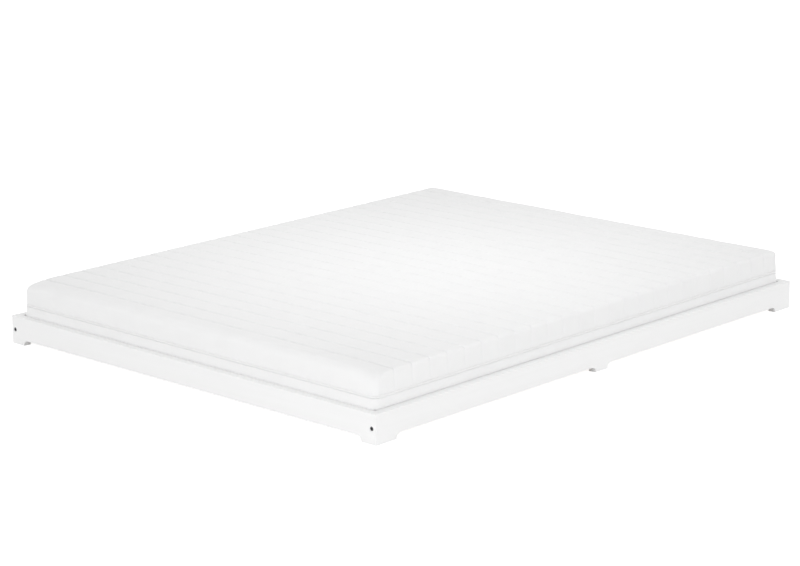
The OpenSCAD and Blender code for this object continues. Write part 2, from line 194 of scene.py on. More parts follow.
def makeLacquer(name, grainAxis):
    look = lacquerLook
    material, tree, shader = startMaterial(name)
    scale = [look["grainAcross"]] * 3
    scale[grainAxis] = look["grainAlong"]
    grain = noiseOf(tree, look["grain"], objectPlace(tree, scale))
    cloudy = noiseOf(tree, look["cloud"])
    roller = noiseOf(tree, look["roller"])
    tone = blendOf(tree, grain, look["toneShares"][0], cloudy, look["toneShares"][1])
    finishColor(tree, shader, ramp(tree, tone, look["deep"], look["pale"]))
    finishRoughness(tree, shader, respan(tree, cloudy, look["cloudSpan"], look["rough"]))
    height = plus(tree, grain, times(tree, roller, look["rollerShare"]))
    finishBump(tree, shader, height, *look["bump"])
    return material


# Planed pine: rings round a pith of its own for every slat, pale early wood and amber late wood
pineLook = {
    "early": (0.80, 0.62, 0.40),
    "late": (0.68, 0.48, 0.27),
    "poreColor": (0.5576, 0.3936, 0.2214),
    "knot": (0.28, 0.14, 0.06),
    "ringWidth": 3.4 * mm,
    "ringStops": (0.0, 0.45, 0.86, 1.0),
    "slatMiddle": 0.4,
    "stripsPerMetre": 10.0,
    "runPerBoard": 3.7,
    "slowScale": (1.6, 9.0),
    "waver": {"Scale": 1.0, "Detail": 3.0},
    "waverDepth": 20 * mm,
    "pithSide": (-0.03, 0.03),
    "pithDepth": (-0.045, 0.045),
    "fineScale": (14.0, 900.0),
    "pores": {"Scale": 1.0, "Detail": 3.0},
    "poreShare": 0.35,
    "paleTint": (1.0, 0.98, 0.94),
    "deepTint": (0.90, 0.86, 0.80),
    "knotEvery": 0.45,
    "knotAcross": 12.0,
    "knotSpan": (0.025, 0.06),
    "knotDepth": (0.85, 0.0),
    "rough": (0.5, 0.72),
    "ringDip": -0.4,
    "bump": (0.2, 0.15 * mm),
}
slatRow = sorted(name for name in nodes if name.startswith("slat_"))
firstSlat, secondSlat = (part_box(name)[0].y for name in slatRow[:2])
slatPitch = secondSlat - firstSlat


def makePine(name, along, boardPitch=0.0, boardStart=0.0, warmth=0.0):
    look = pineLook
    material, tree, shader = startMaterial(name)
    place = addNode(tree, "SeparateXYZ", {0: addNode(tree, "TexCoord").outputs["Object"]})
    run, side, up = place.outputs[along], place.outputs[1 - along], place.outputs[2]
    # The board's number, and the place across that board
    if boardPitch:
        share = over(tree, minus(tree, side, boardStart), boardPitch)
        number = calc(tree, "FLOOR", share)
        side = times(tree, minus(tree, calc(tree, "FRACT", share), look["slatMiddle"]), boardPitch)
    else:
        number = calc(tree, "FLOOR", times(tree, side, look["stripsPerMetre"]))
        side = minus(tree, side, over(tree, number, look["stripsPerMetre"]))
    chance = addNode(tree, "TexWhiteNoise", {"W": number}, noise_dimensions="1D")
    dice = addNode(tree, "SeparateColor", {0: chance.outputs["Color"]})
    shifted = plus(tree, run, times(tree, number, look["runPerBoard"]))

    def drawnOut(alongScale, acrossScale):
        return vectorOf(tree, times(tree, shifted, alongScale), times(tree, side, acrossScale),
                        times(tree, up, acrossScale))

    waver = noiseOf(tree, look["waver"], drawnOut(*look["slowScale"]))
    pithSide = respan(tree, dice.outputs[0], (0, 1), look["pithSide"])
    pithDepth = respan(tree, dice.outputs[1], (0, 1), look["pithDepth"])
    fromPith = vectorOf(tree, minus(tree, side, pithSide), plus(tree, up, pithDepth))
    radius = addNode(tree, "VectorMath", {0: fromPith}, operation="LENGTH").outputs["Value"]
    radius = plus(tree, radius, times(tree, waver, look["waverDepth"]))
    ring = calc(tree, "FRACT", over(tree, radius, look["ringWidth"]))
    ringColors = (look["early"], look["early"], look["late"], look["early"])
    wood = ramp(tree, ring, *zip(look["ringStops"], ringColors))
    # Fine pores, drawn out along the grain
    pores = noiseOf(tree, look["pores"], drawnOut(*look["fineScale"]))
    wood = mixColors(tree, times(tree, pores, look["poreShare"]), wood, look["poreColor"])
    # Each board is a little lighter or warmer than the next
    red, green, blue = look["paleTint"]
    tint = ramp(tree, dice.outputs[2], (0.0, (red, green - warmth, blue - warmth)), (1.0, look["deepTint"]))
    tinted = mixColors(tree, 1.0, wood, tint, blend_type="MULTIPLY")
    # Knots: rare dark spots with a soft rim
    spread = vectorOf(tree, over(tree, shifted, look["knotEvery"]), times(tree, side, look["knotAcross"]))
    knots = addNode(tree, "TexVoronoi", {"Vector": spread, "Scale": 1.0}, voronoi_dimensions="2D").outputs[0]
    isKnot = respan(tree, knots, look["knotSpan"], look["knotDepth"], interpolation_type="SMOOTHSTEP")
    finishColor(tree, shader, mixColors(tree, isKnot, tinted, look["knot"]))
    finishRoughness(tree, shader, respan(tree, pores, (0, 1), look["rough"]))
    height = plus(tree, pores, times(tree, ring, look["ringDip"]))
    finishBump(tree, shader, height, *look["bump"])
    return material


# Turned beech with short dark flecks
beechLook = {
    "rough": 0.55,
    "grainScale": (900, 120, 900),
    "flecks": {"Scale": 1.0, "Detail": 4.0},
    "stops": ((0.32, (0.46, 0.27, 0.14)), (0.46, (0.68, 0.47, 0.29)), (0.8, (0.74, 0.54, 0.35))),
    "bump": (0.2, 0.1 * mm),
}


def makeBeech():
    look = beechLook
    material, tree, shader = startMaterial("turnedBeech", Roughness=look["rough"])
    flecks = noiseOf(tree, look["flecks"], objectPlace(tree, look["grainScale"]))
    finishColor(tree, shader, ramp(tree, flecks, *look["stops"]))
    finishBump(tree, shader, flecks, *look["bump"])
    return material


# Metals: a crystalline zinc coat, the dark blackened steel of the bolts, and the zip's slider
steelLook = {"shares": (0.5, 0.5), "wornFiner": 2.5, "wornDetail": 5.0, "darkAt": 0.25, "lightAt": 0.75,
             "bump": (0.15, 0.05 * mm)}
boltSteel = {"dark": (0.05, 0.05, 0.055), "light": (0.13, 0.13, 0.135), "rough": (0.32, 0.5), "scale": 900.0}
zincSteel = {"dark": (0.50, 0.51, 0.53), "light": (0.72, 0.73, 0.75), "rough": (0.25, 0.42), "scale": 500.0}
sliderSteel = {"dark": (0.60, 0.61, 0.63), "light": (0.68, 0.69, 0.71), "rough": (0.3, 0.42), "scale": 2600.0}


def makeSteel(name, steel):
    look = steelLook
    material, tree, shader = startMaterial(name, Metallic=1.0)
    cells = addNode(tree, "TexVoronoi", {"Vector": objectPlace(tree), "Scale": steel["scale"]})
    gray = addNode(tree, "SeparateColor", {0: cells.outputs["Color"]}).outputs[0]
    worn = noiseOf(tree, {"Scale": steel["scale"] * look["wornFiner"], "Detail": look["wornDetail"]})
    tone = blendOf(tree, gray, look["shares"][0], worn, look["shares"][1])
    stops = ((look["darkAt"], steel["dark"]), (look["lightAt"], steel["light"]))
    finishColor(tree, shader, ramp(tree, tone, *stops))
    finishRoughness(tree, shader, respan(tree, worn, (0, 1), steel["rough"]))
    finishBump(tree, shader, worn, *look["bump"])
    return material


# Woven polyester webbing: ribs across the strap, with a fine twill between them
webbingLook = {
    "rough": 0.8,
    "sheen": 0.2,
    "ribs": {"Scale": 320.0, "Distortion": 0.3},
    "twill": {"Scale": 420.0, "Distortion": 0.3},
    "shares": (0.6, 0.4),
    "stops": ((0.1, (0.66, 0.65, 0.61)), (0.8, (0.86, 0.85, 0.81))),
    "bump": (0.6, 0.25 * mm),
}


def makeWebbing():
    look = webbingLook
    material, tree, shader = startMaterial("wovenStrap", Roughness=look["rough"], Sheen_Weight=look["sheen"])
    place = objectPlace(tree)
    ribs = waveOf(tree, look["ribs"], place, "Y")
    twill = waveOf(tree, look["twill"], place, "DIAGONAL")
    weave = blendOf(tree, ribs, look["shares"][0], twill, look["shares"][1])
    finishColor(tree, shader, ramp(tree, weave, *look["stops"]))
    finishBump(tree, shader, weave, *look["bump"])
    return material


# White double-knit cover cloth. The piece's own map is in metres along the cloth: u across the mattress
# and v along it, both down over the sides. A quilted piece has sewn lines across it, with painted shade along
# them.
clothLook = {
    "rough": 0.88,
    "sheen": 0.12,
    "sheenRough": 0.45,
    "specular": 0.25,
    "pale": (0.6, (0.93, 0.93, 0.93)),
    "deep": (0.2, (0.905, 0.905, 0.906)),
    "loopWide": 1.3 * mm,
    "loopHigh": 1.0 * mm,
    "legRise": 0.5,
    "legHeight": (0.7, 0.3),
    "fuzz": {"Scale": 1400.0, "Detail": 2.0},
    "soft": {"Scale": 14.0, "Detail": 3.0},
    "toneShares": (0.35, 0.65),
    "heightShares": (0.8, 0.4),
    "bump": (0.35, 0.25 * mm),
}
# The sewn lines: a painted shade along each of them, and the thread's dashes
seamLook = {
    "seamShadeColor": (0.77, 0.77, 0.772),
    "seamShadeHalf": 3.2 * mm,
    "shadeFadeSeams": 9.0,
    "farShadeShare": 0.18,
    "edgeInside": 5 * mm,
    "edgeOutside": 8 * mm,
    "sideShadeShare": 0.15,
    "threadColor": (0.93, 0.93, 0.935),
    "threadHalf": 0.55 * mm,
    "threadHeight": 1.6,
    "stitchPitch": 5 * mm,
    "stitchShare": 0.74,
}


def makeCoverCloth(name, firstSeam=0.0, seamPitch=0.0, seamCount=0):
    look = clothLook
    material, tree, shader = startMaterial(name, Roughness=look["rough"], Sheen_Weight=look["sheen"],
                                           Sheen_Roughness=look["sheenRough"],
                                           Specular_IOR_Level=look["specular"])
    spot = addNode(tree, "SeparateXYZ", {0: addNode(tree, "UVMap", uv_map="cloth").outputs[0]})
    across, along = spot.outputs[0], spot.outputs[1]
    # Knit loops: a row of bows whose legs lean to and fro
    lean = bows(tree, times(tree, across, math.pi / look["loopWide"]))
    course = plus(tree, over(tree, along, look["loopHigh"]), times(tree, lean, look["legRise"]))
    loops = bows(tree, times(tree, course, math.pi))
    gain, floorHeight = look["legHeight"]
    knit = times(tree, loops, plus(tree, times(tree, lean, gain), floorHeight))
    fuzz = noiseOf(tree, look["fuzz"])
    soft = noiseOf(tree, look["soft"])
    tone = blendOf(tree, knit, look["toneShares"][0], soft, look["toneShares"][1])
    color = ramp(tree, tone, look["deep"], look["pale"])
    height = blendOf(tree, knit, look["heightShares"][0], fuzz, look["heightShares"][1])
    if seamCount:
        color, height = sewnLines(tree, color, height, across, along, firstSeam, seamPitch, seamCount)
    finishColor(tree, shader, color)
    finishBump(tree, shader, height, *look["bump"])
    return material


def sewnLines(tree, color, height, across, along, firstSeam, seamPitch, seamCount):
    look = seamLook
    # Distance to the nearest sewn line, and the thread's dashes on that line
    count = over(tree, minus(tree, along, firstSeam), seamPitch)
    nearest = calc(tree, "MAXIMUM", calc(tree, "ROUND", count), 0.0)
    nearest = calc(tree, "MINIMUM", nearest, seamCount - 1.0)
    away = times(tree, calc(tree, "ABSOLUTE", minus(tree, count, nearest)), seamPitch)
    onThread = calc(tree, "LESS_THAN", away, look["threadHalf"])
    dash = calc(tree, "FRACT", over(tree, across, look["stitchPitch"]))
    thread = times(tree, onThread, calc(tree, "LESS_THAN", dash, look["stitchShare"]))
    # Painted shade along each sewn line, darkest on the line itself
    seamShade = respan(tree, away, (0.0, look["seamShadeHalf"]), (1.0, 0.0), interpolation_type="SMOOTHSTEP")
    # The painted seam shade is full next to the foot end and fades towards the head end, as the seams do in
    # the photograph
    shadeShown = respan(tree, nearest, (0.0, look["shadeFadeSeams"]), (1.0, look["farShadeShare"]))
    edge = (mattress["halfWide"] - look["edgeInside"], mattress["halfWide"] + look["edgeOutside"])
    # Only a small share of the painted shade goes on down the sides
    shadeOnTop = respan(tree, calc(tree, "ABSOLUTE", across), edge, (1.0, look["sideShadeShare"]))
    seamShade = times(tree, times(tree, seamShade, shadeShown), shadeOnTop)
    color = mixColors(tree, seamShade, color, look["seamShadeColor"])
    color = mixColors(tree, thread, color, look["threadColor"])
    return color, plus(tree, height, times(tree, thread, look["threadHeight"]))


tapeLook = {
    "rough": 0.7,
    "sheen": 0.1,
    "upright": {"Scale": 500.0},
    "slant": {"Scale": 380.0, "Distortion": 0.4},
    "shares": (0.5, 0.5),
    "stops": ((0.1, (0.91, 0.91, 0.912)), (0.9, (0.93, 0.93, 0.93))),
    "bump": (0.5, 0.15 * mm),
}


def makeZipTape():
    look = tapeLook
    material, tree, shader = startMaterial("zipTape", Roughness=look["rough"], Sheen_Weight=look["sheen"])
    place = objectPlace(tree)
    upright = waveOf(tree, look["upright"], place, "Z")
    slant = waveOf(tree, look["slant"], place, "DIAGONAL")
    weave = blendOf(tree, upright, look["shares"][0], slant, look["shares"][1])
    finishColor(tree, shader, ramp(tree, weave, *look["stops"]))
    finishBump(tree, shader, weave, *look["bump"])
    return material


# Nylon coil: its map has the length run in metres as u and the turn round the tube, 0 to 1, as v.
# The teeth of the upper half stand between those of the lower one.
nylonLook = {
    "rough": 0.42,
    "cloud": {"Scale": 900.0, "Detail": 2.0},
    "shares": (0.8, 0.2),
    "stops": ((0.05, (0.84, 0.84, 0.842)), (0.45, (0.92, 0.92, 0.92))),
    "bump": (0.5, 0.4 * mm),
}


def makeNylon(toothPitch):
    look = nylonLook
    material, tree, shader = startMaterial("zipCoilNylon", Roughness=look["rough"])
    spot = addNode(tree, "SeparateXYZ", {0: addNode(tree, "UVMap", uv_map="coil").outputs[0]})
    lower = calc(tree, "GREATER_THAN", spot.outputs[1], 0.5)
    run = plus(tree, over(tree, spot.outputs[0], toothPitch), times(tree, lower, 0.5))
    tooth = bows(tree, times(tree, run, math.pi))
    tone = blendOf(tree, tooth, look["shares"][0], noiseOf(tree, look["cloud"]), look["shares"][1])
    finishColor(tree, shader, ramp(tree, tone, *look["stops"]))
    finishBump(tree, shader, tone, *look["bump"])
    return material


# Open-cell foam, cream, with pores of two sizes
foamLook = {
    "rough": 0.95,
    "bigPores": 420.0,
    "smallPores": 1300.0,
    "shares": (0.7, 0.3),
    "stops": ((0.1, (0.62, 0.58, 0.44)), (0.5, (0.86, 0.83, 0.70))),
    "bump": (0.5, 0.4 * mm),
}


def makeFoam():
    look = foamLook
    material, tree, shader = startMaterial("creamFoam", Roughness=look["rough"])
    place = objectPlace(tree)
    big, small = (addNode(tree, "TexVoronoi", {"Vector": place, "Scale": look[name]}).outputs[0]
                  for name in ("bigPores", "smallPores"))
    cells = blendOf(tree, big, look["shares"][0], small, look["shares"][1])
    finishColor(tree, shader, ramp(tree, cells, *look["stops"]))
    finishBump(tree, shader, cells, *look["bump"])
    return material


def dress(material, *names):
    for name in names:
        data = nodes[name].data
        data.materials.clear()
        data.materials.append(material)


# Frame and slats: the shapes are right as they come, so they only get their finishes
dress(makeLacquer("lacquerAcross", 0), "foot_board", "head_board")
dress(makeLacquer("lacquerAlong", 1), "left_side_rail", "right_side_rail")
dress(makePine("pineSupports", 1, warmth=0.02), "left_ledge", "right_ledge", "centre_beam")
dress(makePine("pineSlats", 0, slatPitch, firstSlat), *slatRow)
dress(makeBeech(), "corner_dowels")
dress(makeSteel("darkBoltSteel", boltSteel), "corner_bolts")
dress(makeSteel("zincSteel", zincSteel), "barrel_nuts", "ledge_screws", "beam_brackets", "bracket_screws",
      "strap_staples")
dress(makeWebbing(), "left_strap", "right_strap")
print("frame and slats dressed")


def meshFrom(bm, name):
    mesh = bpy.data.meshes.new(name)
    bm.to_mesh(mesh)
    bm.free()
    return mesh


def finishPiece(name, mesh, material, body, slot, *replaced):
    for face in mesh.polygons:
        face.use_smooth = True
    mesh.name = name
    mesh.materials.clear()
    mesh.materials.append(material)
    piece = bpy.data.objects.new(name, mesh)
    scene.collection.objects.link(piece)
    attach(piece, body)
    if replaced:
        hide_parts(*replaced)
    return piece


# An open box of quads whose vertices are numbered by column, row and level. It starts as a cube
# without its lid or its floor, and the caller moves each vertex to its place.
def latticeBox(columns, rows, levels, openSide):
    counts = (columns, rows, levels)
    bm = bmesh.new()
    bmesh.ops.create_cube(bm, size=2)
    lid = [f for f in bm.faces if f.calc_center_median().z * openSide > 0.5]
    bmesh.ops.delete(bm, geom=lid, context="FACES_ONLY")
    for axis, count in enumerate(counts):
        edges = [e for e in bm.edges if abs(e.verts[0].co[axis] - e.verts[1].co[axis]) > 0.5]
        bmesh.ops.subdivide_edges(bm, edges=edges, cuts=count - 1, use_grid_fill=True)
    layers = [bm.verts.layers.int.new(name) for name in ("column", "row", "level")]
    for v in bm.verts:
        for axis, layer in enumerate(layers):
            v[layer] = round((v.co[axis] + 1) / 2 * counts[axis])
    return bm, layers


# Stations along one side: (place on the straight stretch, share of the round corner from -1 to 1,
# the corner's side). The shares give even angles on the round.
def cornerStations(straight, steps, side):
    shares = [math.sqrt(2) * math.sin(math.pi / 4 * k / steps) for k in range(steps + 1)]
    return [(side * straight, side * share, side) for share in shares]


def stationRow(straight, places, steps):
    left = cornerStations(straight, steps, -1)[::-1]
    right = cornerStations(straight, steps, 1)
    return left + [(place, 0.0, 0) for place in places] + right


def evenPlaces(straight, count):
    return [straight * (2 * k / count - 1) for k in range(1, count)]


# A square of stations fills a round corner. Where the side lies inset, most of the inset moves
# the corner's centre in and the rest makes its radius smaller.
def planPlace(column, row, insetX, insetY):
    def place(this, other, inset):
        start, share, side = this
        m = mattress
        radius = m["cornerRadius"] - (1 - m["cornerPull"]) * inset
        return start - side * m["cornerPull"] * inset + radius * share * math.sqrt(1 - other[1] ** 2 / 2)

    return place(column, row, insetX), place(row, column, insetY)


def crownAt(x, y):
    m = mattress
    return m["crown"] * (1 - (x / m["halfWide"]) ** 2) * (1 - (y / m["halfLong"]) ** 2)


# Moves a point straight in from the mattress's outline
def drawnIn(point, amount):
    m = mattress
    spine = Vector((max(-m["straightWide"], min(m["straightWide"], point.x)),
                    max(-m["straightLong"], min(m["straightLong"], point.y)), point.z))
    outward = (point - spine).normalized()
    return point - outward * amount


# Length of cloth from the mattress's outline to each level, over the closed face's rim
def clothRun(insets, heights, rim):
    pairs = zip(insets, insets[1:], heights, heights[1:])
    steps = [math.hypot(nextIn - thisIn, nextHigh - thisHigh) for thisIn, nextIn, thisHigh, nextHigh in pairs]
    return [sum(steps[min(k, rim):max(k, rim)]) - insets[rim] for k in range(len(insets))]


# Gives every face its map along the cloth, in metres; the sides hang on from the closed face's rim
def mapCloth(bm, columnCount, rowCount, sideRun, footRun, headRun):
    layer = bm.loops.layers.uv.new("cloth")
    column, row, level = (bm.verts.layers.int[name] for name in ("column", "row", "level"))
    half = (mattress["halfWide"], mattress["halfLong"])
    walls = ((column, 0, 0, -1, sideRun), (column, columnCount, 0, 1, sideRun),
             (row, 0, 1, -1, footRun), (row, rowCount, 1, 1, headRun))
    for face in bm.faces:
        wall = next((w for w in walls if all(v[w[0]] == w[1] for v in face.verts)), None)
        for loop in face.loops:
            spot = [loop.vert.co.x, loop.vert.co.y]
            if wall:
                axis, sign, run = wall[2:]
                spot[axis] = sign * (half[axis] + run[loop.vert[level]])
            loop[layer].uv = spot


# The quilted upper half of the cover
quilt = {
    "channels": 25,
    "firstChannel": 83 * mm,
    "seamDepth": 2.6 * mm,
    "seamHalf": 2.6 * mm,
    "sideDepth": 2.0 * mm,
    "sideHalf": 5.6 * mm,
    "hemShare": 0.4,
    "quickPuff": 0.7 * mm,
    "sideRound": (9 * mm, 13 * mm),
    "footRound": (38 * mm, 30 * mm),
    "headRound": (18 * mm, 18 * mm),
    "lean": 1.6 * mm,
    "cornerDrop": 7 * mm,
    "cornerReach": 65 * mm,
    "columns": 96,
    "cornerSteps": 4,
    "rowsFromSeam": (3 * mm, 9 * mm, 22 * mm),
    "borderRows": 4,
    "sideLevels": 8,
    "hem": ((0.0, 0.6 * mm), (1.4 * mm, 0.34 * mm), (4.0 * mm, 0.11 * mm), (9 * mm, 0.0)),
    "roundLevels": 6,
    "seamTolerance": 0.1 * mm,
    "puckerSize": 0.35 * mm,
    "puckerAway": 5 * mm,
    "puckerReach": 11 * mm,
    "puckerEvery": 17 * mm,
    "liningBelow": 4 * mm,
    "liningIn": 30 * mm,
    "fill": 0.85,
}
seamPitch = 2 * (mattress["halfLong"] - quilt["firstChannel"]) / (quilt["channels"] - 1)
firstSeam = -mattress["halfLong"] + quilt["firstChannel"]


def quiltRows():
    q = quilt
    straight = mattress["straightLong"]
    places = []
    for n in range(q["channels"] - 1):
        seam = firstSeam + n * seamPitch
        places.append(seam)
        places += [seam + d for d in q["rowsFromSeam"]]
        places.append(seam + seamPitch / 2)
        places += [seam + seamPitch - d for d in reversed(q["rowsFromSeam"])]
    places.append(-firstSeam)
    nearSeam = [-firstSeam + d for d in q["rowsFromSeam"][:2]]
    # The border's rows stop short of the corner where its centre is pulled in
    free = straight - mattress["cornerPull"] * q["footRound"][0] - nearSeam[-1]
    border = nearSeam + [nearSeam[-1] + free * k / q["borderRows"] for k in range(1, q["borderRows"])]
    return [-y for y in reversed(border)] + places + border


# How far an edge's round lies in from the side at a depth below the top
def roundedIn(size, below):
    wide, high = size
    share = max(0.0, 1 - below / high)
    return wide * (1 - math.sqrt(1 - share ** 2))


def seamDistance(y):
    n = round((y - firstSeam) / seamPitch)
    n = max(0, min(quilt["channels"] - 1, n))
    return abs(y - firstSeam - n * seamPitch)


# Height of a level of the quilted cover, its share of the top's crown, and how far it lies in
# at the long sides, the foot end and the head end
def quiltSection(k):
    q, m = quilt, mattress
    roundHigh = q["footRound"][1]
    if k < len(q["hem"]):
        up, inset = q["hem"][k]
        return m["zipHigh"] + up, 0.0, inset, inset, inset
    if k < q["sideLevels"]:
        hemHigh = q["hem"][-1][0]
        share = (k - len(q["hem"]) + 1) / (q["sideLevels"] - len(q["hem"]) + 1)
        up = hemHigh + (m["borderTop"] - roundHigh - m["zipHigh"] - hemHigh) * share
        return m["zipHigh"] + up, 0.0, *(q["lean"] * share,) * 3
    lift = math.sin(math.pi / 2 * (k - q["sideLevels"]) / q["roundLevels"])
    below = roundHigh * (1 - lift)
    rounds = (q["lean"] + roundedIn(q[name], below) for name in ("sideRound", "footRound", "headRound"))
    return m["borderTop"] - below, lift, *rounds


def makeQuiltMesh():
    q, m = quilt, mattress
    straight = m["straightWide"]
    xs = [-straight + 2 * straight * k / q["columns"] for k in range(1, q["columns"])]
    columns = stationRow(straight, xs, q["cornerSteps"])
    rows = stationRow(m["straightLong"], quiltRows(), q["cornerSteps"])
    levelCount = q["sideLevels"] + q["roundLevels"]
    columnCount, rowCount = len(columns) - 1, len(rows) - 1
    bm, layers = latticeBox(columnCount, rowCount, levelCount, -1)
    sections = [quiltSection(k) for k in range(levelCount + 1)]
    held = []
    for v in bm.verts:
        i, j, k = (v[layer] for layer in layers)
        z, lift, inSide, inFoot, inHead = sections[k]
        x, y = planPlace(columns[i], rows[j], inSide, inFoot if rows[j][2] < 0 else inHead)
        fromCorner = math.hypot(m["halfWide"] - abs(x), m["halfLong"] + y) / q["cornerReach"]
        v.co = (x, y, z + lift * (crownAt(x, y) - q["cornerDrop"] * math.exp(-fromCorner ** 2)))
        seamRow = rows[j][1] == 0 and seamDistance(y) < q["seamTolerance"]
        held.append(k == 0 or seamRow and (k == levelCount or i in (0, columnCount)))
    bm.verts.index_update()
    bmesh.ops.recalc_face_normals(bm, faces=bm.faces)
    heights, _, *insets = zip(*sections)
    mapCloth(bm, columnCount, rowCount, *(clothRun(inset, heights, levelCount) for inset in insets))
    return meshFrom(bm, "quiltedTop"), held


puffing = {
    "quality": 4,
    "mass": 0.4,
    "tension_stiffness": 20,
    "compression_stiffness": 20,
    "shear_stiffness": 8,
    "bending_stiffness": 0.8,
    "shrink_min": -0.004,
    "use_pressure": True,
    "uniform_pressure_force": 4.0,
}
puffFrames = 20
puffLimit = 1.0 * mm


# Lets air press the cloth out between its sewn lines, which stay where they are
def simulatePuff(mesh, held):
    start = [(v.co.copy(), v.normal.copy()) for v in mesh.vertices]
    pad = bpy.data.objects.new("quiltPuffing", mesh)
    scene.collection.objects.link(pad)
    group = pad.vertex_groups.new(name="sewn")
    group.add([n for n, isHeld in enumerate(held) if isHeld], 1.0, "REPLACE")
    cloth = pad.modifiers.new("puff", "CLOTH")
    for key, value in puffing.items():
        setattr(cloth.settings, key, value)
    cloth.settings.vertex_group_mass = "sewn"
    cloth.settings.effector_weights.gravity = 0
    cloth.collision_settings.use_collision = False
    cloth.point_cache.frame_start = 1
    cloth.point_cache.frame_end = puffFrames
    for number in range(1, puffFrames + 1):
        scene.frame_set(number)
    shape = pad.evaluated_get(bpy.context.evaluated_depsgraph_get()).to_mesh()
    moved = [v.co.copy() for v in shape.vertices]
    scene.frame_set(1)
    bpy.data.objects.remove(pad)
    furthest = 0.0
    for v, (before, normal), after in zip(mesh.vertices, start, moved):
        swell = (after - before).dot(normal)
        furthest = max(furthest, swell)
        v.co = before + normal * puffLimit * math.tanh(swell / puffLimit)
    print("quilt puffed out, by up to %.1f mm before its limit" % (furthest / mm))


# Presses the sewn lines in, with the small puckers that thread draws in cloth
def sewChannels(bm):
    q, m = quilt, mattress
    wide, high = q["sideRound"]
    roundLow = m["borderTop"] - high
    every = q["puckerEvery"]
    for v in bm.verts:
        x, y, z = v.co
        away = seamDistance(y)
        fade = q["hemShare"] + (1 - q["hemShare"]) * min(1.0, (z - m["zipHigh"]) / (roundLow - m["zipHigh"]))
        bend = min(1.0, max(0.0, (z - roundLow) / high)) ** 2
        deepest = q["seamDepth"] * bend + q["sideDepth"] * fade * (1 - bend)
        half = q["seamHalf"] * bend + q["sideHalf"] * (1 - bend)
        depth = deepest * math.exp(-(away / half) ** 2)
        ripple = noise.noise(Vector((x / every, y / (2 * every), z / every)))
        depth += q["puckerSize"] * ripple * math.exp(-((away - q["puckerAway"]) / q["puckerReach"]) ** 2)
        tilt = max(0.0, min(1.0, (abs(x) - m["halfWide"] + wide) / wide))
        angle = math.asin(tilt)
        v.co.z -= depth * math.cos(angle)
        v.co.x -= math.copysign(depth * math.sin(angle), x)


# Closes the cloth into a hollow shell: a hem turned in at the zip, and a plain lining over rings,
# each with its inset from the ring before it and its height
def lineCover(bm, *rings):
    m = mattress
    hem = (m["coverThick"] - m["drawnInAtZip"], None)
    rim = [e for e in bm.edges if len(e.link_faces) == 1]
    for inset, height in (hem, *rings):
        made = bmesh.ops.extrude_edge_only(bm, edges=rim)["geom"]
        for v in [g for g in made if isinstance(g, bmesh.types.BMVert)]:
            if height is None:
                v.co = drawnIn(v.co, inset)
            else:
                v.co = (v.co.x * (1 - inset / m["halfWide"]), v.co.y * (1 - inset / m["halfLong"]), height)
        rim = [g for g in made if isinstance(g, bmesh.types.BMEdge) and len(g.link_faces) == 1]
    bmesh.ops.contextual_create(bm, geom=rim)
    bmesh.ops.recalc_face_normals(bm, faces=bm.faces)


def subdivided(mesh):
    carrier = bpy.data.objects.new("carrier", mesh)
    scene.collection.objects.link(carrier)
    smoother = carrier.modifiers.new("smoother", "SUBSURF")
    smoother.levels = smoother.render_levels = 1
    smoother.boundary_smooth = "PRESERVE_CORNERS"
    result = bpy.data.meshes.new_from_object(carrier.evaluated_get(bpy.context.evaluated_depsgraph_get()))
    bpy.data.objects.remove(carrier)
    return result


def makeQuiltedTop():
    q, m = quilt, mattress
    mesh, held = makeQuiltMesh()
    simulatePuff(mesh, held)
    bm = bmesh.new()
    bm.from_mesh(subdivided(mesh))
    sewChannels(bm)
    wallTop = m["borderTop"] - q["footRound"][1] - q["liningBelow"]
    lineCover(bm, (0.0, wallTop), (q["liningIn"], m["borderTop"] - m["coverThick"]))
    mesh = meshFrom(bm, "quiltedTop")
    cloth = makeCoverCloth("quiltedCloth", firstSeam, seamPitch, q["channels"])
    piece = finishPiece("quiltedTop", mesh, cloth, "mattress", "quilt", "mattress_cover_top")
    print("quilted top made with", len(mesh.polygons), "faces")


# The lower half of the cover: plain cloth, round below and drawn in under the foam. The swell
# gives shares of the height down from the zip, each with its insets in millimetres.
base = {
    "columns": 60,
    "rows": 76,
    "cornerSteps": 6,
    "swell": [(0.0, 0.6, 0.6), (0.025, 0.34, 0.34), (0.07, 0.11, 0.11), (0.15, 0.0, 0.0), (0.26, -0.3, -0.8),
              (0.4, -0.6, -1.9), (0.53, -0.8, -2.2), (0.67, -0.3, -1.4), (0.8, 1.8, 1.4), (0.9, 5.5, 5.3),
              (0.97, 10.0, 10.0)],
    "tuck": 14 * mm,
    "wave": 0.5 * mm,
    "wavesPerMetre": (9, 9, 20),
    "fill": 0.9,
}


